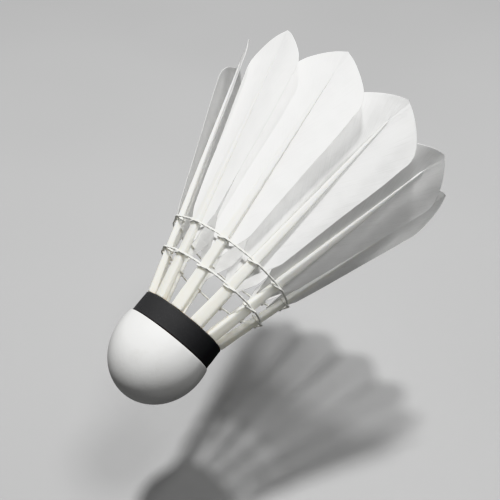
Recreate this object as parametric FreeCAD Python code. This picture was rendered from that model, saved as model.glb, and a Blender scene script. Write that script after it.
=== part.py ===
import FreeCAD, Part
import math
import os

from FreeCAD import Matrix, Vector

# Feather shuttlecock, standing on its feather tips with the cork nose up.
# Frame: +Z runs along the shuttle's axis towards the nose, and the origin is the centre of
# the circle that the feather tips stand on. Millimetres and degrees throughout.

# ---- driving dimensions: skirt ----
FEATHERS = 12
SKIRT_HEIGHT = 69.0  # feather tips to the flat back of the cork, along the axis
FLARE = 19.8  # angle between a feather and the shuttle's axis
TWIST = 11.0  # turn of each feather about its own length, so that neighbours overlap
ROOT_RADIUS = 9.85  # axis to the inner face of a shaft, at the back of the cork
FIRST_FEATHER = 15.0  # azimuth of the first feather

# ---- driving dimensions: feather shaft ----
SHAFT_LENGTH = 67.0
SHAFT_ROOT_WIDTH = 3.45
SHAFT_ROOT_DEPTH = 2.1
SHAFT_TIP_WIDTH = 0.4
SHAFT_TIP_DEPTH = 0.5
SHAFT_ROUNDING = 0.22  # corner radius as a share of the shaft's depth
PEG_LENGTH = 9.5  # the narrow quill end that is glued into the cork
PEG_RADIUS = 0.7
PEG_END_RADIUS = 0.5
PEG_INSET = 0.7  # inner face of the shaft to the centre of the peg
PEG_GLUE = 0.12
PEG_OVERLAP = 1.0  # length of peg that runs on inside the shaft
SHAFT_TRIM = 2.0  # length of shaft built past the cork's back, then cut level with it

# ---- driving dimensions: vanes, measured along and across the shaft ----
VANE_THICKNESS = 0.3
VANE_START = 15.8
VANE_LOW_CORNER = (5.2, 24.0)
VANE_SIDE = [(6.0, 29.8), (7.9, 43.2), (9.6, 53.8)]
VANE_SHOULDER = (10.3, 62.0)
VANE_CROWN = [(10.45, 64.3), (8.5, 67.6), (2.6, 71.9)]

# ---- driving dimensions: binding thread ----
THREAD_RADIUS = 0.33
THREAD_DROPS = {"lower": 11.1, "upper": 19.1}  # distances below the back of the cork
STRAND_BEND = 0.8
HITCH_BEND = 0.5
HITCH_OUTER_SHIFT = -0.95  # along the shaft from the strand; negative is towards the cork
HITCH_INNER_SHIFT = -1.9

# ---- driving dimensions: cork head ----
RIBBON_HEIGHT = 6.0
RIBBON_RADIUS = 12.05
RIBBON_THICKNESS = 0.35
NOSE_HEIGHT = 17.25  # rim of the cap to the tip of the nose
CAP_RADIUS = 12.65
CAP_WIDEST = 3.1  # widest ring of the cap, above its rim
CAP_SKIN = 0.5
LAYER_HEIGHT = 10.4  # thickness of the rear cork layer
LAYER_GLUE = 0.2
LABEL_RADIUS = 6.5
LABEL_THICKNESS = 0.15

# ---- clearances between pieces ----
GLUE_GAP = 0.01
VANE_GAP = 0.02
THREAD_GAP = 0.03

# ---- derived levels and points ----
BACK_Z = SKIRT_HEIGHT
RIM_Z = BACK_Z + RIBBON_HEIGHT
NOSE_Z = RIM_Z + NOSE_HEIGHT
WIDEST_Z = RIM_Z + CAP_WIDEST
VANE_TIP = SKIRT_HEIGHT / math.cos(math.radians(FLARE))
ORIGIN = Vector(0, 0, 0)
UP = Vector(0, 0, 1)
REACH = 100.0  # larger than the whole shuttlecock, for cutting blocks


def feather_frame():
    """Matrix from feather coordinates to the shuttle, for a feather at azimuth 0.

    Feather x runs across the shaft, y along it from the cork to the tip, and z out of
    the skirt. z = 0 is the inner face of the shaft and of the vanes.
    """
    flare = math.radians(FLARE)
    twist = math.radians(TWIST)
    along = Vector(math.sin(flare), 0, -math.cos(flare))
    outward = Vector(math.cos(flare), 0, math.sin(flare))
    tangent = Vector(0, 1, 0)
    across = outward * math.sin(twist) - tangent * math.cos(twist)
    normal = outward * math.cos(twist) + tangent * math.sin(twist)
    return Matrix(
        across.x, along.x, normal.x, ROOT_RADIUS,
        across.y, along.y, normal.y, 0,
        across.z, along.z, normal.z, BACK_Z,
        0, 0, 0, 1,
    )


FEATHER_FRAME = feather_frame()


def turned(shape, index):
    """Copy of a shape made at azimuth 0, turned to the place of one feather."""
    copy = shape.copy()
    copy.rotate(ORIGIN, UP, FIRST_FEATHER + index * 360.0 / FEATHERS)
    return copy


def turned_point(point, steps):
    """A point moved round the shuttle's axis by a number of feathers."""
    angle = math.radians(steps * 360.0 / FEATHERS)
    x = point.x * math.cos(angle) - point.y * math.sin(angle)
    y = point.x * math.sin(angle) + point.y * math.cos(angle)
    return Vector(x, y, point.z)


def in_place(shape):
    """Move a shape from feather coordinates to its place at azimuth 0."""
    return shape.transformed(FEATHER_FRAME, True)


def shaft_width(y):
    return SHAFT_ROOT_WIDTH + (SHAFT_TIP_WIDTH - SHAFT_ROOT_WIDTH) * y / SHAFT_LENGTH


def shaft_depth(y):
    return SHAFT_ROOT_DEPTH + (SHAFT_TIP_DEPTH - SHAFT_ROOT_DEPTH) * y / SHAFT_LENGTH


# ---- general shapes ----
def rounded_path(points, bend, closed):
    """Wire through the points, with each corner turned by an arc of radius bend."""
    count = len(points)
    corners = range(count) if closed else range(1, count - 1)
    edges = []
    reached = None if closed else points[0]
    first_start = None
    for i in corners:
        corner = points[i]
        back = (points[i - 1] - corner).normalize()
        ahead = (points[(i + 1) % count] - corner).normalize()
        half_angle = back.getAngle(ahead) / 2
        bisector = (back + ahead).normalize()
        cut_back = bend / math.tan(half_angle)
        centre = corner + bisector * (bend / math.sin(half_angle))
        start = corner + back * cut_back
        end = corner + ahead * cut_back
        if reached is None:
            first_start = start
        else:
            edges.append(Part.makeLine(reached, start))
        edges.append(Part.Arc(start, centre - bisector * bend, end).toShape())
        reached = end
    edges.append(Part.makeLine(reached, first_start if closed else points[-1]))
    return Part.Wire(edges)


def round_cord(path, radius):
    """Solid cord of round section that follows a wire."""
    first = path.OrderedEdges[0]
    start = first.valueAt(first.FirstParameter)
    direction = first.tangentAt(first.FirstParameter)
    section = Part.Wire([Part.makeCircle(radius, start, direction)])
    return path.makePipeShell([section], True, False)


def ring(outer, inner, low, high):
    """Plain ring about the shuttle's axis."""
    base = Vector(0, 0, low)
    outside = Part.makeCylinder(outer, high - low, base)
    return outside.cut(Part.makeCylinder(inner, high - low, base))


def slab(low, high):
    """Block that holds everything between two levels."""
    corner = Vector(-REACH / 2, -REACH / 2, low)
    return Part.makeBox(REACH, REACH, high - low, corner)


# ---- cork head ----
def head_arc(inset):
    """Arc from the nose round to the rim, set in from the outside of the cap."""
    centre = Vector(0, 0, WIDEST_Z)
    nose = Vector(0, 0, NOSE_Z - inset)
    side = Vector(CAP_RADIUS - inset, 0, WIDEST_Z)
    ellipse = Part.Ellipse(nose, side, centre)
    rim_angle = math.acos((RIM_Z - WIDEST_Z) / (NOSE_Z - inset - WIDEST_Z))
    return Part.ArcOfEllipse(ellipse, 0, rim_angle)


def leather_cap():
    outer = head_arc(0)
    inner = head_arc(CAP_SKIN)
    outer_rim = outer.EndPoint
    inner_rim = inner.EndPoint
    nose_line = Part.makeLine(inner.StartPoint, outer.StartPoint)
    rim_line = Part.makeLine(outer_rim, inner_rim)
    section = Part.Face(Part.Wire([nose_line, outer.toShape(), rim_line, inner.toShape()]))
    return section.revolve(ORIGIN, UP, 360)


def cork_core():
    """Whole cork, from the nose to the flat back that the quills enter."""
    dome = head_arc(CAP_SKIN + GLUE_GAP)
    shank_radius = RIBBON_RADIUS - RIBBON_THICKNESS - GLUE_GAP
    corners = [
        dome.EndPoint,
        Vector(shank_radius, 0, RIM_Z),
        Vector(shank_radius, 0, BACK_Z),
        Vector(0, 0, BACK_Z),
        dome.StartPoint,
    ]
    section = Part.Face(Part.Wire([dome.toShape()] + Part.makePolygon(corners).Edges))
    return section.revolve(ORIGIN, UP, 360)


def peg(length, extra):
    """Tapered peg on a shaft's line, from inside the shaft down into the cork."""
    start = Vector(0, PEG_OVERLAP, PEG_INSET)
    taper = (PEG_RADIUS - PEG_END_RADIUS) / (PEG_LENGTH + PEG_OVERLAP)
    height = length + PEG_OVERLAP
    top_radius = PEG_RADIUS + extra
    end_radius = top_radius - taper * height
    return in_place(Part.makeCone(top_radius, end_radius, height, start, Vector(0, -1, 0)))


def cork_layers():
    core = cork_core()
    socket = peg(PEG_LENGTH + PEG_GLUE + 2 * GLUE_GAP, PEG_GLUE + 2 * GLUE_GAP)
    joint_z = BACK_Z + LAYER_HEIGHT
    rear = core.common(slab(BACK_Z, joint_z))
    for index in range(FEATHERS):
        rear = rear.cut(turned(socket, index))
    glue = core.common(slab(joint_z, joint_z + LAYER_GLUE))
    front = core.common(slab(joint_z + LAYER_GLUE, NOSE_Z))
    return rear, glue, front


def socket_glue():
    """Glue left between each quill peg and its socket, shaped like a thin cup."""
    cup = peg(PEG_LENGTH + PEG_GLUE + GLUE_GAP, PEG_GLUE + GLUE_GAP)
    cup = cup.cut(peg(PEG_LENGTH + GLUE_GAP, GLUE_GAP))
    cup = cup.common(slab(BACK_Z, NOSE_Z))
    return Part.makeCompound([turned(cup, index) for index in range(FEATHERS)])


# ---- feathers ----
def shaft_section(y):
    """Rounded rectangle across a shaft, with its inner side on z = 0."""
    half = shaft_width(y) / 2
    depth = shaft_depth(y)
    rounding = SHAFT_ROUNDING * min(depth, 2 * half)
    corners = [
        Vector(-half, y, 0),
        Vector(half, y, 0),
        Vector(half, y, depth),
        Vector(-half, y, depth),
    ]
    return rounded_path(corners, rounding, True)


def feather_shaft():
    blade = Part.makeLoft([shaft_section(-SHAFT_TRIM), shaft_section(SHAFT_LENGTH)], True, True)
    blade = in_place(blade).cut(slab(BACK_Z, NOSE_Z))
    return blade.fuse(peg(PEG_LENGTH, 0)).removeSplitter()


def spline(points):
    curve = Part.BSplineCurve()
    curve.interpolate(points)
    return curve.toShape()


def feather_vane(side):
    """One web of a feather: side is 1 for the web that laps outside its neighbour."""

    def at(x, y):
        return Vector(side * x, y, 0)

    shaft_end = SHAFT_LENGTH + VANE_GAP
    centre_x = VANE_GAP / 2
    foot = at(shaft_width(VANE_START) / 2 + VANE_GAP, VANE_START)
    beside_shaft_end = at(shaft_width(SHAFT_LENGTH) / 2 + VANE_GAP, shaft_end)
    past_shaft_end = at(centre_x, shaft_end)
    tip = at(centre_x, VANE_TIP)
    shoulder = at(*VANE_SHOULDER)
    low_corner = at(*VANE_LOW_CORNER)
    crown = spline([shoulder] + [at(x, y) for x, y in VANE_CROWN] + [tip])
    long_side = spline([low_corner] + [at(x, y) for x, y in VANE_SIDE] + [shoulder])
    inner = Part.makePolygon([tip, past_shaft_end, beside_shaft_end, foot, low_corner])
    outline = Part.Wire(Part.sortEdges([crown, long_side] + inner.Edges)[0])
    web = Part.Face(outline).extrude(Vector(0, 0, VANE_THICKNESS))
    return in_place(web.cut(hitch_slot(side)))


# ---- binding thread ----
def strand_station(drop):
    """Place along the shaft, and height over its inner face, where a strand crosses."""
    flare = math.radians(FLARE)
    height = shaft_depth(drop / math.cos(flare)) + THREAD_RADIUS + THREAD_GAP
    along = (drop + height * math.sin(flare)) / math.cos(flare)
    return along, height


def thread_strand(drop):
    """Running strand that lies across the outside of every shaft, and straight between."""
    along, height = strand_station(drop)
    half = shaft_width(along) / 2
    leading = FEATHER_FRAME.multVec(Vector(half, along, height))
    trailing = FEATHER_FRAME.multVec(Vector(-half, along, height))
    previous = turned_point(trailing, -1)
    following = turned_point(leading, 1)
    points = [(previous + leading) / 2, leading, trailing, (trailing + following) / 2]
    span = round_cord(rounded_path(points, STRAND_BEND, False), THREAD_RADIUS)
    spans = [turned(span, index) for index in range(FEATHERS)]
    return spans[0].multiFuse(spans[1:]).removeSplitter()


def hitch_reach(drop):
    """Half width of the loop that a thread makes round a shaft, to its centre line."""
    along = strand_station(drop)[0] + HITCH_INNER_SHIFT
    return shaft_width(along) / 2 + THREAD_RADIUS + THREAD_GAP


def thread_hitch(drop):
    """Loop round one shaft, slanting from the outer face to the inner face."""
    along, height = strand_station(drop)
    reach = hitch_reach(drop)
    outer_y = along + HITCH_OUTER_SHIFT
    inner_y = along + HITCH_INNER_SHIFT
    under = -THREAD_RADIUS - THREAD_GAP
    corners = [
        Vector(-reach, outer_y, height),
        Vector(reach, outer_y, height),
        Vector(reach, inner_y, under),
        Vector(-reach, inner_y, under),
    ]
    return in_place(round_cord(rounded_path(corners, HITCH_BEND, True), THREAD_RADIUS))


def hitch_slot(side):
    """Opening in a vane where the upper hitch passes through it, beside the shaft."""
    along = strand_station(THREAD_DROPS["upper"])[0]
    reach = hitch_reach(THREAD_DROPS["upper"])
    width = 2 * (reach + THREAD_RADIUS + THREAD_GAP)
    low = along + HITCH_INNER_SHIFT - THREAD_RADIUS - THREAD_GAP
    high = along + (HITCH_INNER_SHIFT + HITCH_OUTER_SHIFT) / 2 + THREAD_RADIUS
    margin = VANE_THICKNESS  # cut this far past both faces of the vane
    corner = Vector(-width / 2, low, -margin)
    return Part.makeBox(width, high - low, VANE_THICKNESS + 2 * margin, corner)


# ---- all pieces ----
def build():
    rear, layer_glue, front = cork_layers()
    label_base = Vector(0, 0, BACK_Z - LABEL_THICKNESS)
    label = Part.makeCylinder(LABEL_RADIUS, LABEL_THICKNESS, label_base)
    nodes = {
        "leather_cap": leather_cap(),
        "cork_front_layer": front,
        "cork_layer_glue": layer_glue,
        "cork_rear_layer": rear,
        "ribbon_band": ring(RIBBON_RADIUS, RIBBON_RADIUS - RIBBON_THICKNESS, BACK_Z, RIM_Z),
        "label_disc": label,
        "quill_socket_glue": socket_glue(),
    }
    for row, drop in THREAD_DROPS.items():
        hitch = thread_hitch(drop)
        hitches = [turned(hitch, index) for index in range(FEATHERS)]
        nodes[f"{row}_thread_strand"] = thread_strand(drop)
        nodes[f"{row}_thread_hitches"] = Part.makeCompound(hitches)
    shaft = feather_shaft()
    outer_vane = feather_vane(1)
    inner_vane = feather_vane(-1)
    for index in range(FEATHERS):
        name = f"feather_{index + 1:02d}"
        nodes[f"{name}_shaft"] = turned(shaft, index)
        nodes[f"{name}_outer_vane"] = turned(outer_vane, index)
        nodes[f"{name}_inner_vane"] = turned(inner_vane, index)
    return nodes


os.makedirs("parts", exist_ok=True)
for node, shape in build().items():
    shape.exportStep(f"parts/{node}.step")
    print(node, "valid", shape.isValid(), "solids", len(shape.Solids), round(shape.Volume, 2))
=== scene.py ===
"""Looks of a feather shuttlecock: finely ribbed feathers, laid thread, ribbon, leather cap and cork."""

import math

import bpy
import numpy as np
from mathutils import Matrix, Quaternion, Vector


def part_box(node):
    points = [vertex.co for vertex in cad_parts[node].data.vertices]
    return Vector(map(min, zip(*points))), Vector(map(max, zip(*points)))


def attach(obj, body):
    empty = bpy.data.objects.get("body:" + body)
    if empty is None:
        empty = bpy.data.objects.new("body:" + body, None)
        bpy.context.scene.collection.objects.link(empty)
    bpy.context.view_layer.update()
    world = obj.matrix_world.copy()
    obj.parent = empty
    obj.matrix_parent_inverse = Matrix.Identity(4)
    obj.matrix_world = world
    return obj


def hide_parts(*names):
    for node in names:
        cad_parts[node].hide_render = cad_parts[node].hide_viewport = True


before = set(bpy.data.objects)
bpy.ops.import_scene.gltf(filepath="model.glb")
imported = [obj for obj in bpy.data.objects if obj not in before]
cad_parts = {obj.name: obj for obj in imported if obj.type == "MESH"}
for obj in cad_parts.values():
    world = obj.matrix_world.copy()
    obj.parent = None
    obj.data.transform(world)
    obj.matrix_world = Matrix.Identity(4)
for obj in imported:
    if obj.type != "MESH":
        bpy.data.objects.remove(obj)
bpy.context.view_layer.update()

MM = 0.001
rng = np.random.default_rng(12)

# ---- sizes read from the frame, in millimetres ----
ribbon_low, ribbon_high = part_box("ribbon_band")
cap_low, cap_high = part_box("leather_cap")
BACK_Z = ribbon_low.z / MM
RIM_Z = ribbon_high.z / MM
RIBBON_RADIUS = ribbon_high.x / MM
NOSE_Z = cap_high.z / MM
CAP_RADIUS = cap_high.x / MM


def strand_drop(row):
    """How far a row of thread runs from the back of the cork."""
    low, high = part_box(f"{row}_thread_strand")
    return BACK_Z - (low.z + high.z) / 2 / MM


# ---- feather layout, as the design has it ----
FEATHERS = 12
FIRST_AZIMUTH = math.radians(15.0)
STEP = math.tau / FEATHERS
FLARE = math.radians(19.8)
TWIST = math.radians(11.0)
ROOT_RADIUS = 9.85

# ---- shaft, in millimetres, as (root, tip) where it tapers ----
SHAFT_LENGTH = 67.0
SHAFT_WIDTHS = (3.45, 0.3)
SHAFT_DEPTHS = (2.1, 0.42)
SHAFT_SIDES = 28
SHAFT_STATIONS = 64
SHAFT_BOW = 0.10  # spread of the bow from feather to feather
BLUNT_TIP = (0.4, 0.5)  # width and depth of the last ring, as shares
SQUARENESS = 4.0  # 2 would make the section an ellipse
GROOVE_DEPTH = 0.22  # share of the shaft's depth
GROOVE_WIDTH = 0.35  # share of the shaft's half width
PEG_LENGTH = 9.5
PEG_RADII = (0.7, 0.5)
PEG_INSET = 0.7
PEG_CHAMFER = 0.25
PEG_STRAIGHT = 0.9  # where the peg stops tapering, before the cork's back
CLEAR_OF_CORK = 0.02

# ---- web, in millimetres ----
VANE_START = 15.8
VANE_TIP = BACK_Z / math.cos(FLARE)
VANE_THICKNESS = 0.16
VANE_STANDOFF = 0.16  # shaft's inner face to the middle of the web
EDGE_THINNING = 0.35
BARBS = 112
BARB_RIDGE = 0.01
BARB_CURVE = 0.035  # sideways bow of a barb, as a share of its length
BARB_ROOT_END = VANE_TIP - 1.2
BARB_SHARES = np.append(np.linspace(0, 0.985, 13) ** 0.9, 1.0)  # closer together at the free edge
LOW_EDGE_POINTS = 14

# ---- thread and head, in millimetres ----
THREAD_RADIUS = 0.29
THREAD_STEP = 0.16
THREAD_LAY = 1.6  # length of one turn of the plies
KNOT_SIZE = 0.36
KNOT_STEP = 0.12
KNOT_LAY = 1.4
KNOT_THINNING = 0.8
KNOT_FEATHER = 4
WIDEST_ABOVE_RIM = 3.1
CAP_SKIN = 0.5
CAP_SEGMENTS = 160
LIP_RISE = 0.16
RIBBON_THICKNESS = 0.35
RIBBON_CLEARANCE = 0.02
RIBBON_SEGMENTS = 240
RIBBON_STATIONS = 25
RIBBON_EDGE = 0.2  # radius of the folded edge
LAP_CENTRE = math.radians(70)
LAP_HALF = math.radians(9)
LAP_RISE = 0.14


# ---- mesh helpers ----
def new_piece(name, vertices, faces, material, uvs=None):
    """A closed mesh given in millimetres, shaded smooth, riding on the one body."""
    mesh = bpy.data.meshes.new(name)
    mesh.from_pydata((np.asarray(vertices) * MM).tolist(), [], faces)
    mesh.update()
    mesh.polygons.foreach_set("use_smooth", np.ones(len(mesh.polygons), bool))
    if uvs is not None:
        layer = mesh.uv_layers.new(name="UVMap")
        corners = np.empty(len(mesh.loops), np.int32)
        mesh.loops.foreach_get("vertex_index", corners)
        layer.data.foreach_set("uv", np.asarray(uvs, np.float32)[corners].ravel())
    mesh.materials.append(material)
    piece = bpy.data.objects.new(name, mesh)
    bpy.context.scene.collection.objects.link(piece)
    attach(piece, "root")
    return piece


def grid_faces(rows, columns, offset=0, flip=False, wrap_rows=False, wrap_columns=False):
    """Quads between neighbouring rows and columns of a vertex grid."""
    faces = []
    for i in range(rows if wrap_rows else rows - 1):
        for j in range(columns if wrap_columns else columns - 1):
            a = offset + i * columns + j
            b = offset + i * columns + (j + 1) % columns
            c = offset + ((i + 1) % rows) * columns + (j + 1) % columns
            d = offset + ((i + 1) % rows) * columns + j
            faces.append((a, d, c, b) if flip else (a, b, c, d))
    return faces


def pole_faces(rings, sides):
    """Triangles that close a stack of rings at both ends, to the two poles stored after them."""
    first_pole = rings * sides
    last_ring = first_pole - sides
    faces = [(first_pole, j, (j + 1) % sides) for j in range(sides)]
    faces += [(first_pole + 1, last_ring + (j + 1) % sides, last_ring + j) for j in range(sides)]
    return faces


def even_angles(count, start=0.0):
    return np.arange(count) * math.tau / count + start


def smoothstep(x):
    x = np.clip(x, 0, 1)
    return x * x * (3 - 2 * x)


# ---- feather frame ----
def feather_axes():
    """Directions across, along and out of a feather at azimuth 0, as rows."""
    along = np.array([math.sin(FLARE), 0, -math.cos(FLARE)])
    outward = np.array([math.cos(FLARE), 0, math.sin(FLARE)])
    tangent = np.array([0.0, 1.0, 0.0])
    across = outward * math.sin(TWIST) - tangent * math.cos(TWIST)
    normal = outward * math.cos(TWIST) + tangent * math.sin(TWIST)
    return np.stack([across, along, normal])


AXES = feather_axes()
ROOT = np.array([ROOT_RADIUS, 0, BACK_Z])


def in_place(points, index):
    """From feather coordinates (across, along, out) to the shuttlecock, for one feather."""
    placed = np.asarray(points, float) @ AXES + ROOT
    angle = FIRST_AZIMUTH + index * STEP
    c = math.cos(angle)
    s = math.sin(angle)
    turn = np.array([[c, s, 0], [-s, c, 0], [0, 0, 1]])
    return placed @ turn


def cork_back(x, z):
    """How far along a feather its line at (x, z) leaves the back of the cork, less a hair."""
    return -(AXES[0, 2] * x + AXES[2, 2] * z + CLEAR_OF_CORK) / AXES[1, 2]


def tapered(ends, y):
    return ends[0] + (ends[1] - ends[0]) * y / SHAFT_LENGTH


def shaft_half_width(y):
    return tapered(SHAFT_WIDTHS, y) / 2


def shaft_depth(y):
    return tapered(SHAFT_DEPTHS, y)


# ---- materials ----
WEB_GLOW = 0.36  # share of the surface that shows light from behind
QUILL_GLOW = 0.30
WEB_PASSES = 0.70  # share of the lamps' light that goes on to what is behind
QUILL_PASSES = 0.50


class Shader:
    """Builds one node material; methods that add nodes return an output socket."""

    def __init__(self, name, color, roughness, **inputs):
        self.material = bpy.data.materials.new(name)
        self.material.use_nodes = True
        self.nodes = self.material.node_tree.nodes
        self.links = self.material.node_tree.links
        self.bsdf = self.nodes["Principled BSDF"]
        self.material.diffuse_color = (*color, 1)
        self.finish(Base_Color=(*color, 1), Roughness=roughness, **inputs)

    def set(self, node, key, value):
        if isinstance(value, bpy.types.NodeSocket):
            self.links.new(value, node.inputs[key])
        else:
            node.inputs[key].default_value = value

    def add(self, kind, output=0, settings=None, **inputs):
        """New node; an input is given by its name, or as i0, i1, i2 by its number."""
        node = self.nodes.new("ShaderNode" + kind)
        for key, value in (settings or {}).items():
            setattr(node, key, value)
        for key, value in inputs.items():
            self.set(node, int(key[1:]) if key[0] == "i" and key[1:].isdigit() else key, value)
        return node.outputs[output]

    def uv(self):
        """The two directions of the mesh's UV map."""
        split = self.add("SeparateXYZ", Vector=self.add("TexCoord", "UV")).node
        return split.outputs[0], split.outputs[1]

    def place(self, scale=(1, 1, 1), source="Object"):
        """Texture coordinates: object millimetres, or the mesh's UV map."""
        point = self.add("TexCoord", source)
        factor = 1 / MM if source == "Object" else 1
        size = tuple(s * factor for s in scale)
        return self.add("Mapping", Vector=point, Scale=size)

    def noise(self, scale, detail=3.0, where=None, stretch=(1, 1, 1), rough=0.5):
        where = where if where is not None else self.place(stretch)
        return self.add("TexNoise", Vector=where, Scale=scale, Detail=detail, Roughness=rough)

    def math(self, operation, a, b=0.0):
        return self.add("Math", settings={"operation": operation}, i0=a, i1=b)

    def ripples(self, value, count):
        """Sine wave with this many crests as the value goes from 0 to 1."""
        return self.math("SINE", self.math("MULTIPLY", value, math.tau * count))

    def spread(self, value, low, high, to_low=0.0, to_high=1.0):
        return self.add("MapRange", **{
            "Value": value, "From Min": low, "From Max": high, "To Min": to_low, "To Max": to_high,
        })

    def blend(self, factor, a, b):
        node = self.nodes.new("ShaderNodeMix")
        node.data_type = "RGBA"
        self.set(node, 0, factor)
        self.set(node, 6, (*a, 1) if isinstance(a, tuple) else a)
        self.set(node, 7, (*b, 1) if isinstance(b, tuple) else b)
        return node.outputs[2]

    def bump(self, height, distance, strength=1.0, below=None):
        inputs = {"Height": height, "Distance": distance * MM, "Strength": strength}
        if below is not None:
            inputs["Normal"] = below
        return self.add("Bump", **inputs)

    def translucent(self, share, color, normal):
        """The finished surface with a share of light coming through from behind."""
        through = self.add("BsdfTranslucent", Color=color, Normal=normal)
        return self.add("MixShader", i0=share, i1=self.bsdf.outputs[0], i2=through)

    def let_lamps_through(self, solid, share):
        """Surface that looks solid, but passes a share of the lamps' light on to what is behind it."""
        gap = self.add("BsdfTransparent", Color=(1, 1, 1, 1))
        partly = self.add("MixShader", i0=share, i1=solid, i2=gap)
        surface = self.add("MixShader", i0=self.add("LightPath", "Is Shadow Ray"), i1=solid, i2=partly)
        self.links.new(surface, self.nodes["Material Output"].inputs["Surface"])

    def finish(self, **inputs):
        for key, value in inputs.items():
            self.set(self.bsdf, key.replace("_", " "), value)
        return self.material


def vane_material():
    """Feather barbs: fine ribs running out from the shaft, white, letting some light through."""
    s = Shader("feather_vane", (0.90, 0.90, 0.89), 0.62, Specular_IOR_Level=0.2)
    out, up = s.uv()
    mottle = s.noise(0.22, 4.0)
    streak = s.noise(1.0, 3.0, s.place((2.0, 260.0, 1.0), "UV"))
    white = s.blend(s.spread(mottle, 0.35, 0.65), (0.90, 0.90, 0.895), (0.94, 0.94, 0.935))
    low_on_web = s.spread(up, 0.3, 0.7, 1.0, 0.0)
    warm = s.math("MULTIPLY", s.spread(out, 0.0, 0.12, 1.0, 0.0), low_on_web)
    color = s.blend(s.math("MULTIPLY", warm, 0.35), white, (0.84, 0.83, 0.78))
    color = s.blend(s.spread(streak, 0.50, 0.75, 0.0, 0.55), color, (0.76, 0.76, 0.745))
    normal = s.bump(s.ripples(up, 2 * BARBS), 0.012, 0.5, s.bump(streak, 0.05, 0.7))
    s.finish(Base_Color=color, Normal=normal)
    s.let_lamps_through(s.translucent(WEB_GLOW, color, normal), WEB_PASSES)
    return s.material


def quill_material():
    """Horny shaft: ivory where it leaves the cork, whiter towards the tip, faintly grooved."""
    s = Shader("quill", (0.86, 0.85, 0.79), 0.38, Specular_IOR_Level=0.45)
    s.finish(Subsurface_Weight=0.6, Subsurface_Scale=1.2 * MM)
    s.finish(Subsurface_Radius=(1.0, 0.95, 0.85))
    along = s.uv()[1]
    grain = s.noise(1.0, 4.0, s.place((14.0, 3.0, 1.0), "UV"))
    ivory = s.blend(s.spread(along, 0.0, 0.55), (0.93, 0.925, 0.875), (0.93, 0.93, 0.915))
    color = s.blend(s.spread(grain, 0.52, 0.75, 0.0, 0.35), ivory, (0.76, 0.74, 0.65))
    normal = s.bump(grain, 0.05, 0.6)
    s.finish(Base_Color=color, Normal=normal)
    s.let_lamps_through(s.translucent(QUILL_GLOW, color, normal), QUILL_PASSES)
    return s.material


def thread_material():
    """White cotton thread with a little fuzz, greyer where it is rubbed."""
    s = Shader("binding_thread", (0.86, 0.86, 0.83), 0.7, Sheen_Weight=0.2)
    fuzz = s.noise(6.0, 5.0)
    color = s.blend(s.spread(fuzz, 0.35, 0.7), (0.72, 0.72, 0.68), (0.90, 0.90, 0.87))
    return s.finish(Base_Color=color, Normal=s.bump(fuzz, 0.06, 0.7))


def cap_material():
    """White kid leather: small pores, shallow creases, a little grey rubbed into the nose."""
    s = Shader("cap_leather", (0.88, 0.88, 0.87), 0.42, Specular_IOR_Level=0.4, Coat_Weight=0.08)
    pores = s.add("TexVoronoi", 0, {"feature": "DISTANCE_TO_EDGE"}, Vector=s.place(), Scale=2.6)
    creases = s.noise(0.9, 5.0, rough=0.6)
    soil = s.noise(0.16, 5.0, rough=0.7)
    color = s.blend(s.spread(soil, 0.48, 0.72, 0.0, 0.5), (0.72, 0.72, 0.71), (0.64, 0.635, 0.615))
    skin = s.bump(s.spread(pores, 0.0, 0.12), 0.018, 0.4, s.bump(creases, 0.05, 0.5))
    rough = s.spread(creases, 0.3, 0.7, 0.36, 0.52)
    return s.finish(Base_Color=color, Normal=skin, Roughness=rough)


def ribbon_material():
    """Black ribbon: fine weave, with a little pale lint."""
    s = Shader("ribbon", (0.018, 0.018, 0.019), 0.62, Specular_IOR_Level=0.22, Sheen_Weight=0.05)
    round_cork, up = s.uv()
    weave = s.math("MULTIPLY", s.ripples(round_cork, 260), s.ripples(up, 22))
    lint = s.noise(2.5, 6.0, rough=0.7)
    color = s.blend(s.spread(lint, 0.55, 0.8, 0.0, 0.5), (0.043, 0.043, 0.044), (0.085, 0.085, 0.086))
    return s.finish(Base_Color=color, Normal=s.bump(weave, 0.03, 0.5))


def cork_material():
    """Cut cork: tan cells with darker pits and streaks."""
    s = Shader("cork", (0.62, 0.42, 0.25), 0.85)
    cells = s.add("TexVoronoi", 0, Vector=s.place(), Scale=1.3)
    blotches = s.noise(0.5, 6.0, rough=0.65)
    pits = s.noise(1.6, 5.0, rough=0.7)
    tan = s.blend(s.spread(blotches, 0.3, 0.7), (0.50, 0.31, 0.17), (0.72, 0.52, 0.33))
    color = s.blend(s.spread(pits, 0.60, 0.68), tan, (0.18, 0.09, 0.05))
    return s.finish(Base_Color=color, Normal=s.bump(cells, 0.15, 0.5, s.bump(pits, 0.2, 0.6)))


def glue_material():
    """Dried amber glue with small bubbles."""
    s = Shader("glue", (0.80, 0.74, 0.56), 0.25, Transmission_Weight=0.25)
    bubbles = s.noise(3.0, 3.0)
    color = s.blend(s.spread(bubbles, 0.4, 0.7), (0.82, 0.76, 0.58), (0.70, 0.60, 0.40))
    return s.finish(Base_Color=color, Normal=s.bump(bubbles, 0.05, 0.5))


def label_material():
    """Plain paper disc with visible fibres."""
    s = Shader("label_paper", (0.82, 0.81, 0.77), 0.8)
    fibres = s.noise(3.0, 5.0, stretch=(1.0, 3.0, 1.0), rough=0.7)
    color = s.blend(s.spread(fibres, 0.4, 0.65), (0.76, 0.75, 0.70), (0.87, 0.86, 0.82))
    return s.finish(Base_Color=color, Normal=s.bump(fibres, 0.03, 0.5))


MATERIALS = {
    "vane": vane_material(),
    "quill": quill_material(),
    "thread": thread_material(),
    "cap_leather": cap_material(),
    "ribbon": ribbon_material(),
    "cork": cork_material(),
    "glue": glue_material(),
    "label": label_material(),
}


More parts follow.
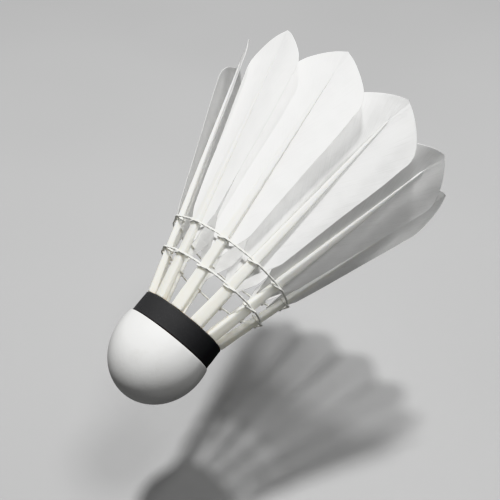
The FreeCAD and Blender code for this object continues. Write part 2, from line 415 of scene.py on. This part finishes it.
# ---- feather shaft ----
def rounded_section(half_width, depth):
    """Points round a rounded rectangle that stands on z = 0, with a groove along its inner face."""
    angle = even_angles(SHAFT_SIDES, math.pi / SHAFT_SIDES)
    c = np.cos(angle)
    s = np.sin(angle)
    x = half_width * np.sign(c) * np.abs(c) ** (2 / SQUARENESS)
    z = depth / 2 * (1 + np.sign(s) * np.abs(s) ** (2 / SQUARENESS))
    groove = GROOVE_DEPTH * depth * np.exp(-((x / (GROOVE_WIDTH * half_width)) ** 2)) * (s < 0)
    return x, z + groove


def peg_rings():
    """Rings of the narrow quill end that sits in the cork, from its blunt end to the cork's back."""
    angle = even_angles(SHAFT_SIDES, math.pi / SHAFT_SIDES)
    stations = [
        (-PEG_LENGTH, PEG_RADII[1] * 0.75),
        (-PEG_LENGTH + PEG_CHAMFER, PEG_RADII[1]),
        (-PEG_STRAIGHT, PEG_RADII[0]),
    ]
    rings = []
    for y, radius in stations:
        level = np.full(SHAFT_SIDES, y)
        rings.append(np.stack([radius * np.cos(angle), level, PEG_INSET + radius * np.sin(angle)], 1))
    at_back = rings[-1].copy()
    at_back[:, 1] = cork_back(at_back[:, 0], at_back[:, 2])
    return rings + [at_back]


def stem_rings(lengths):
    """Rings of the tapering shaft, slightly bowed and rippled, cut level with the cork's back."""
    bow = rng.normal(0, SHAFT_BOW, 2)
    phase = rng.uniform(0, math.tau, 2)
    rings = []
    for y in lengths:
        swell = 1 + 0.012 * math.sin(0.35 * y + phase[0]) + 0.008 * math.sin(0.9 * y + phase[1])
        width_share, depth_share = BLUNT_TIP if y == SHAFT_LENGTH else (1.0, 1.0)
        half_width = shaft_half_width(y) * width_share * swell
        x, z = rounded_section(half_width, shaft_depth(y) * depth_share * swell)
        bend = math.sin(math.pi * y / SHAFT_LENGTH)
        level = np.full(SHAFT_SIDES, y) if y > 0 else cork_back(x, z)
        rings.append(np.stack([x + bow[0] * bend, level, z + bow[1] * bend / 2], 1))
    return rings


def build_shaft(index):
    """Quill with its narrow peg in the cork, a shoulder at the cork's back and a long taper."""
    lengths = SHAFT_LENGTH * np.linspace(0, 1, SHAFT_STATIONS) ** 1.05
    peg = peg_rings()
    rings = peg + stem_rings(lengths)
    poles = [rings[0].mean(0), rings[-1].mean(0)]
    shares = np.concatenate([np.zeros(len(peg)), lengths / SHAFT_LENGTH])
    round_shaft = np.tile(np.arange(SHAFT_SIDES) / SHAFT_SIDES, len(rings))
    uvs = np.stack([round_shaft, np.repeat(shares, SHAFT_SIDES)], 1)
    uvs = np.vstack([uvs, [(0.5, 0.0), (0.5, 1.0)]])
    faces = grid_faces(len(rings), SHAFT_SIDES, wrap_columns=True, flip=True)
    faces += pole_faces(len(rings), SHAFT_SIDES)
    vertices = in_place(np.vstack([*rings, poles]), index)
    name = f"feather_{index + 1:02d}_shaft"
    piece = new_piece(f"{name}_quill", vertices, faces, MATERIALS["quill"], uvs)
    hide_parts(name)


# ---- feather vanes ----
def curve_through(points, count):
    """Smooth curve through the points (Catmull-Rom)."""
    points = np.asarray(points, float)
    padded = np.vstack([2 * points[0] - points[1], points, 2 * points[-1] - points[-2]])
    spans = len(points) - 1
    out = []
    for t in np.linspace(0, spans, count):
        k = min(int(t), spans - 1)
        u = t - k
        a, b, c, d = padded[k:k + 4]
        out.append(0.5 * (2 * b + (c - a) * u + (2 * a - 5 * b + 4 * c - d) * u ** 2
                          + (3 * b - 3 * c + d - a) * u ** 3))
    return np.array(out)


def vane_outline():
    """Free edge of a web, from its foot on the shaft to the feather's tip and a hair past it."""
    foot = (shaft_half_width(VANE_START), VANE_START)
    low_corner = (5.2, 24.2)
    side_end = (10.4, 60.6)
    crown_start = (10.3, 65.1)
    low_edge = curve_through([foot, (2.9, 19.7), low_corner], LOW_EDGE_POINTS)
    side = curve_through([low_corner, (6.0, 29.8), (7.9, 43.2), (9.6, 53.8), side_end], 60)
    shoulder = curve_through([side_end, (10.68, 62.9), crown_start], 12)
    crown = curve_through([crown_start, (8.6, 67.45), (5.9, 69.85), (2.8, 72.0), (0.0, VANE_TIP)], 40)
    past_tip = [(-0.4, VANE_TIP - 0.02)]
    return np.vstack([low_edge, side[1:], shoulder[1:], crown[1:], past_tip])


OUTLINE = vane_outline()


def barb_angle(y):
    """Angle between a barb and the shaft: widest a little below the middle, none at the tip."""
    share = (y - VANE_START) / (BARB_ROOT_END - VANE_START)
    return math.radians(25.0 + 7.0 * math.sin(math.pi * min(share * 1.2, 1.0))) * (1 - share ** 6)


def barb_end(root, angle):
    """Where a barb that leaves its root at this angle meets the free edge."""
    direction = np.array([math.sin(angle), math.cos(angle)])
    edge = OUTLINE[1:] - OUTLINE[:-1]
    gap = OUTLINE[:-1] - root
    cross = direction[0] * edge[:, 1] - direction[1] * edge[:, 0]
    reach = (gap[:, 0] * edge[:, 1] - gap[:, 1] * edge[:, 0]) / cross
    share = (gap[:, 0] * direction[1] - gap[:, 1] * direction[0]) / cross
    rounding = 1e-6
    hit = (share >= -rounding) & (share <= 1 + rounding) & (reach > 1e-4)
    return root + direction * reach[hit].min()


def barb_rows():
    """A flat web as rows of (across, along) points, one row along each edge of each barb."""
    t = BARB_SHARES
    rows = [curve_through(OUTLINE[:LOW_EDGE_POINTS], len(t))]
    for y in np.linspace(VANE_START, BARB_ROOT_END, 2 * BARBS)[1:]:
        under_shaft = 0.8 * shaft_half_width(y)
        root = np.array([under_shaft if y < SHAFT_LENGTH else -0.05, y])
        reach = barb_end(root, barb_angle(y)) - root
        sideways = np.array([reach[1], -reach[0]])
        rows.append(root + reach * t[:, None] + sideways * (BARB_CURVE * t * (1 - t))[:, None])
    return np.array(rows)


FLAT_WEB = barb_rows()


def web_middle(x, share):
    """How far the middle of a web stands out from the shaft's inner face, by place on the web."""
    lean = rng.uniform(-1, 1, 4)
    camber = 0.10 * (1 - np.cos(math.tau * np.clip(x / 10.5, 0, 1))) * smoothstep(share * 3)
    long_wave = 0.08 * lean[0] * np.sin(3 * math.pi * share + 3 * lean[1]) * smoothstep(x / 6)
    cross_wave = 0.05 * lean[2] * np.sin(0.5 * x + 5 * lean[3]) * smoothstep(share * 2)
    return VANE_STANDOFF + camber + long_wave + cross_wave * smoothstep(x / 4)


def grid_border(rows, columns):
    """Vertex numbers round the border of a grid."""
    border = list(range(columns))
    border += [i * columns + columns - 1 for i in range(1, rows)]
    border += [(rows - 1) * columns + j for j in range(columns - 2, -1, -1)]
    return border + [i * columns for i in range(rows - 2, 0, -1)]


def thin_sheet_faces(rows, columns, flip):
    """Faces of a closed sheet: outer grid, inner grid stored after it, and the strip between."""
    inner = rows * columns
    faces = grid_faces(rows, columns, 0, flip) + grid_faces(rows, columns, inner, not flip)
    border = grid_border(rows, columns)
    for a, b in zip(border, border[1:] + border[:1]):
        faces.append((a, b, b + inner, a + inner) if flip else (b, a, a + inner, b + inner))
    return faces


def build_vane(index, side, label):
    """One web as a thin closed sheet whose rows are its barbs."""
    rows, columns = FLAT_WEB.shape[:2]
    x = FLAT_WEB[..., 0]
    y = FLAT_WEB[..., 1]
    middle = web_middle(x, (y - VANE_START) / (VANE_TIP - VANE_START))
    middle += BARB_RIDGE * np.where(np.arange(rows) % 2, 1.0, -1.0)[:, None]
    half_thickness = VANE_THICKNESS / 2 * (1 - EDGE_THINNING * smoothstep(x / 9))
    outer = np.stack([side * x, y, middle + half_thickness], -1).reshape(-1, 3)
    inner = np.stack([side * x, y, middle - half_thickness], -1).reshape(-1, 3)
    along_barb = np.tile(BARB_SHARES, rows)
    barb = np.repeat(np.linspace(0, 1, rows), columns)
    uvs = np.tile(np.stack([along_barb, barb], 1), (2, 1))
    vertices = in_place(np.vstack([outer, inner]), index)
    faces = thin_sheet_faces(rows, columns, side < 0)
    name = f"feather_{index + 1:02d}_{label}_vane"
    piece = new_piece(f"{name}_barbs", vertices, faces, MATERIALS["vane"], uvs)
    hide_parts(name)


# ---- binding thread ----
def round_off(path, passes):
    """Cut the corners of a closed path (Chaikin)."""
    for _ in range(passes):
        following = np.roll(path, -1, 0)
        near = 0.75 * path + 0.25 * following
        far = 0.25 * path + 0.75 * following
        path = np.stack([near, far], 1).reshape(-1, 3)
    return path


def even_steps(path, spacing):
    """Points at even distances round a closed path."""
    closed = np.vstack([path, path[:1]])
    lengths = np.linalg.norm(np.diff(closed, axis=0), axis=1)
    travelled = np.concatenate([[0], np.cumsum(lengths)])
    count = int(travelled[-1] / spacing)
    stations = np.linspace(0, travelled[-1], count, endpoint=False)
    return np.stack([np.interp(stations, travelled, closed[:, k]) for k in range(3)], 1)


def carried_normals(ahead):
    """A normal at each step of a path, carried along it without twisting."""
    normal = np.cross(ahead[0], [0.0, 0.0, 1.0])
    normals = []
    for direction in ahead:
        normal = normal - direction * (normal @ direction)
        normal /= np.linalg.norm(normal)
        normals.append(normal)
    return np.array(normals)


def laid_cord(path, radius, lay, sides=14, plies=3):
    """Closed cord of twisted plies along a closed path of even steps."""
    count = len(path)
    ahead = np.roll(path, -1, 0) - np.roll(path, 1, 0)
    ahead /= np.linalg.norm(ahead, axis=1)[:, None]
    normals = carried_normals(ahead)
    sideways = np.cross(ahead, normals)
    slip = math.atan2(normals[-1] @ sideways[0], normals[-1] @ normals[0])
    turns = round(count * np.linalg.norm(path[1] - path[0]) / lay)
    around = even_angles(sides)
    share = np.arange(count)[:, None] / count
    angle = around - slip * share
    plies_out = np.cos(plies * around - math.tau * turns * share)
    reach = radius * (0.88 + 0.12 * plies_out)[..., None]
    spoke = np.cos(angle)[..., None] * normals[:, None] + np.sin(angle)[..., None] * sideways[:, None]
    rings = path[:, None] + reach * spoke
    return rings.reshape(-1, 3), grid_faces(count, sides, wrap_rows=True, wrap_columns=True)


def strand_station(drop):
    """How far along a shaft the thread crosses it."""
    height = shaft_depth(drop / math.cos(FLARE)) + THREAD_RADIUS
    return (drop + height * math.sin(FLARE)) / math.cos(FLARE)


def hitch_points(drop):
    """The thread's way across, round and back over one shaft, in feather coordinates."""
    y = strand_station(drop)
    half = shaft_half_width(y)
    depth = shaft_depth(y)
    r = THREAD_RADIUS
    beside = half + 0.4 * r
    return [
        (-half - 0.4, y + 0.1, depth + 0.95 * r),
        (-half + 0.3, y + 0.06, depth + r),
        (half - 0.3, y - 0.06, depth + r),
        (half + 0.25 * r, y - 0.12, depth + 0.7 * r),
        (beside, y - 0.2, depth * 0.75),
        (beside, y - 0.35, depth * 0.25),
        (half + 0.1 * r, y - 0.45, -0.7 * r),
        (half - 0.4, y - 0.5, -0.95 * r),
        (-half + 0.4, y - 0.6, -0.95 * r),
        (-half - 0.1 * r, y - 0.65, -0.7 * r),
        (-beside, y - 0.65, depth * 0.25),
        (-beside, y - 0.62, depth * 0.75),
        (-half - 0.25 * r, y - 0.6, depth + 0.7 * r),
        (-half + 0.35, y - 0.55, depth + 1.0 * r),
        (-0.2, y - 0.3, depth + 1.5 * r),
        (half - 0.35, y + 0.1, depth + 1.7 * r),
        (half + 0.4, y + 0.14, depth + 1.0 * r),
    ]


def knot_path(drop):
    """Small trefoil knot that ties a row off, on the outside of one shaft."""
    t = even_angles(60)
    x = 0.55 * KNOT_SIZE * (np.sin(t) + 2 * np.sin(2 * t))
    y = 0.45 * KNOT_SIZE * (np.cos(t) - 2 * np.cos(2 * t))
    z = -0.7 * KNOT_SIZE * np.sin(3 * t)
    station = strand_station(drop)
    centre = np.array([0.3, station + 0.9, shaft_depth(station) + 0.55])
    return np.stack([x, y, z], 1) + centre


def build_thread_row(row):
    drop = strand_drop(row)
    path = np.vstack([in_place(hitch_points(drop)[::-1], index) for index in range(FEATHERS)])
    path = even_steps(round_off(path, 3), THREAD_STEP)
    vertices, faces = laid_cord(path, THREAD_RADIUS, THREAD_LAY)
    knot = even_steps(round_off(in_place(knot_path(drop), KNOT_FEATHER), 1), KNOT_STEP)
    knot_vertices, knot_faces = laid_cord(knot, THREAD_RADIUS * KNOT_THINNING, KNOT_LAY)
    faces += [tuple(v + len(vertices) for v in face) for face in knot_faces]
    vertices = np.vstack([vertices, knot_vertices])
    piece = new_piece(f"{row}_thread", vertices, faces, MATERIALS["thread"])
    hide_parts(f"{row}_thread_strand", f"{row}_thread_hitches")


# ---- head ----
def ring_points(radius, height, angle):
    """Points of rings about the axis, one ring for each row of radius and height."""
    radius, height = np.broadcast_arrays(radius, height)
    return np.stack([radius * np.cos(angle), radius * np.sin(angle), height], -1).reshape(-1, 3)


def dome(inset, count):
    """(radius, height) points of the rounded head, from the nose down to the rim."""
    widest = RIM_Z + WIDEST_ABOVE_RIM
    tall = NOSE_Z - widest - inset
    wide = CAP_RADIUS - inset
    stop = math.acos((RIM_Z - widest) / tall)
    angle = np.linspace(0, stop, count)
    return np.stack([wide * np.sin(angle), widest + tall * np.cos(angle)], 1)


def cap_profile():
    """Section of the skin from its outer pole, round the rolled lip, to its inner pole."""
    outer = dome(0.0, 90)
    inner = dome(CAP_SKIN, 30)
    lip_angle = np.linspace(0.15, math.pi - 0.15, 9)
    lip_radius = CAP_SKIN / 2
    lip_out = (outer[-1, 0] + inner[-1, 0]) / 2 + lip_radius * np.cos(lip_angle)
    lip_up = RIM_Z + LIP_RISE - 0.6 * lip_radius * np.sin(lip_angle)
    return np.vstack([outer[:-2], np.stack([lip_out, lip_up], 1), inner[-3::-1]])


def build_cap():
    """Leather skin with a rolled lip at the rim and shallow handmade unevenness."""
    profile = cap_profile()
    angle = even_angles(CAP_SEGMENTS)
    phase = rng.uniform(0, math.tau, 3)
    radius = profile[1:-1, :1]
    height = profile[1:-1, 1:] + 0 * angle
    near_rim = np.exp(-((height - RIM_Z) / 2.5) ** 2)
    uneven = 0.02 * np.sin(3 * angle + phase[0] + 0.4 * height) + 0.012 * np.sin(7 * angle + phase[1])
    puckers = 0.015 * near_rim * np.sin(23 * angle + phase[2])
    poles = [(0, 0, profile[0, 1]), (0, 0, profile[-1, 1])]
    vertices = np.vstack([ring_points(radius + uneven + puckers, height, angle), poles])
    rings = len(profile) - 2
    faces = grid_faces(rings, CAP_SEGMENTS, wrap_columns=True, flip=True)
    faces += pole_faces(rings, CAP_SEGMENTS)
    piece = new_piece("leather_cap_skin", vertices, faces, MATERIALS["cap_leather"])
    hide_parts("leather_cap")


def build_ribbon():
    """Ribbon wound once round the cork, its end lapped over its start."""
    angle = even_angles(RIBBON_SEGMENTS)
    share = np.linspace(0, 1, RIBBON_STATIONS)[:, None]
    low = BACK_Z + RIBBON_CLEARANCE
    width = RIM_Z - RIBBON_CLEARANCE - low
    sway = 0.015 * np.sin(2 * angle + 1.0) + 0.009 * np.sin(5 * angle)
    height = low + share * width + sway * (2 * share - 1)
    from_edge = np.minimum(share, 1 - share) * width
    roundness = np.sqrt(1 - (1 - np.clip(from_edge / RIBBON_EDGE, 0, 1)) ** 2)
    bulge = 0.05 * np.sin(math.pi * share)
    selvage = 0.05 * np.exp(-((from_edge - 0.35) / 0.16) ** 2)
    thickness = (RIBBON_THICKNESS - 0.1 + bulge + selvage) * np.maximum(roundness, 0.25)
    from_lap = np.angle(np.exp(1j * (angle - LAP_CENTRE)))
    lap = smoothstep((from_lap + LAP_HALF) / 0.02) - smoothstep((from_lap - LAP_HALF) / 0.25)
    inner = RIBBON_RADIUS - RIBBON_THICKNESS
    outer_face = ring_points(inner + thickness + LAP_RISE * lap, height, angle)
    inner_face = ring_points(inner, height[::-1], angle)
    rings = 2 * RIBBON_STATIONS
    faces = grid_faces(rings, RIBBON_SEGMENTS, wrap_rows=True, wrap_columns=True)
    round_cork = np.abs(np.arange(RIBBON_SEGMENTS) / RIBBON_SEGMENTS * 2 - 1)
    up = np.concatenate([share[:, 0], share[::-1, 0]])
    uvs = np.stack([np.tile(round_cork, rings), np.repeat(up, RIBBON_SEGMENTS)], 1)
    vertices = np.vstack([outer_face, inner_face])
    piece = new_piece("ribbon_band_tape", vertices, faces, MATERIALS["ribbon"], uvs)
    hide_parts("ribbon_band")


def paint_carried_nodes():
    for node, slot in (
        ("cork_front_layer", "cork"),
        ("cork_rear_layer", "cork"),
        ("cork_layer_glue", "glue"),
        ("quill_socket_glue", "glue"),
        ("label_disc", "label"),
    ):
        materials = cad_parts[node].data.materials
        materials.clear()
        materials.append(MATERIALS[slot])


# ---- studio; directions are seen from the camera, towards where a lamp stands ----
TARGET = Vector((-1.8, 0.0, 43.4)) * MM
AZIMUTH = math.radians(-0.44)
ELEVATION = math.radians(15.2)
ROLL = math.radians(218.7)
DISTANCE = 183.8 * MM
FLOOR_TILT = math.radians(38.0)
FLOOR_DROP = 76.0 * MM
FLOOR_HALF_SIZE = 4.0
WORLD_STRENGTH = 0.11
EXPOSURE = 0.2


def build_camera():
    data = bpy.data.cameras.new("camera")
    data.lens = 50
    data.sensor_width = 36
    data.clip_start = 0.005
    data.clip_end = 20
    camera = bpy.data.objects.new("camera", data)
    bpy.context.scene.collection.objects.link(camera)
    back = Vector((
        math.sin(AZIMUTH) * math.cos(ELEVATION),
        -math.cos(AZIMUTH) * math.cos(ELEVATION),
        math.sin(ELEVATION),
    ))
    camera.rotation_mode = "QUATERNION"
    camera.location = TARGET + back * DISTANCE
    camera.rotation_quaternion = (-back).to_track_quat("-Z", "Y") @ Quaternion((0, 0, 1), ROLL)
    bpy.context.scene.camera = camera
    return camera


def add_lamp(camera, name, direction, distance, size, power):
    """Soft round lamp that looks at the shuttlecock and hangs from the camera."""
    data = bpy.data.lights.new(name, "AREA")
    data.shape = "DISK"
    data.size = size
    data.energy = power
    lamp = bpy.data.objects.new(name, data)
    bpy.context.scene.collection.objects.link(lamp)
    direction = Vector(direction).normalized()
    lamp.parent = camera
    lamp.rotation_mode = "QUATERNION"
    lamp.location = Vector((0, 0, -DISTANCE)) + direction * distance
    lamp.rotation_quaternion = (-direction).to_track_quat("-Z", "Y")


def floor_material():
    """Pale grey to the camera, and darker to other rays, so that undersides stay in shade."""
    s = Shader("studio_floor", (0.27, 0.27, 0.27), 0.8, Specular_IOR_Level=0.15)
    cloud = s.noise(0.004, 2.0)
    pale = s.blend(s.spread(cloud, 0.3, 0.7), (0.370, 0.370, 0.370), (0.392, 0.392, 0.392))
    seen = s.add("LightPath", "Is Camera Ray")
    return s.finish(Base_Color=s.blend(seen, (0.12, 0.12, 0.12), pale))


def build_floor(camera):
    """Flat floor below the shuttlecock as the camera sees it."""
    normal = Vector((0, math.cos(FLOOR_TILT), math.sin(FLOOR_TILT)))
    far = FLOOR_HALF_SIZE
    corners = [(-far, -far, 0), (far, -far, 0), (far, far, 0), (-far, far, 0)]
    mesh = bpy.data.meshes.new("floor")
    mesh.from_pydata(corners, [], [(0, 1, 2, 3)])
    mesh.materials.append(floor_material())
    floor = bpy.data.objects.new("floor", mesh)
    bpy.context.scene.collection.objects.link(floor)
    floor.parent = camera
    floor.rotation_mode = "QUATERNION"
    floor.location = Vector((0, 0, -DISTANCE)) - normal * FLOOR_DROP
    floor.rotation_quaternion = normal.to_track_quat("Z", "Y")


def build_studio():
    """Floor and lamps hang from the camera, so every view has the same studio behind it."""
    camera = build_camera()
    build_floor(camera)
    add_lamp(camera, "key_lamp", direction=(-0.04, 0.82, 0.57), distance=2.0, size=0.20, power=41.5)
    add_lamp(camera, "fill_lamp", direction=(0.28, 0.62, 0.73), distance=2.0, size=0.5, power=12)
    world = bpy.data.worlds.new("studio")
    world.use_nodes = True
    background = world.node_tree.nodes["Background"]
    background.inputs["Color"].default_value = (1, 1, 1, 1)
    background.inputs["Strength"].default_value = WORLD_STRENGTH
    scene = bpy.context.scene
    scene.world = world
    scene.view_settings.view_transform = "Khronos PBR Neutral"
    scene.view_settings.exposure = EXPOSURE


for feather in range(FEATHERS):
    build_shaft(feather)
    build_vane(feather, 1, "outer")
    build_vane(feather, -1, "inner")
for thread_row in ("lower", "upper"):
    build_thread_row(thread_row)
build_cap()
build_ribbon()
paint_carried_nodes()
build_studio()
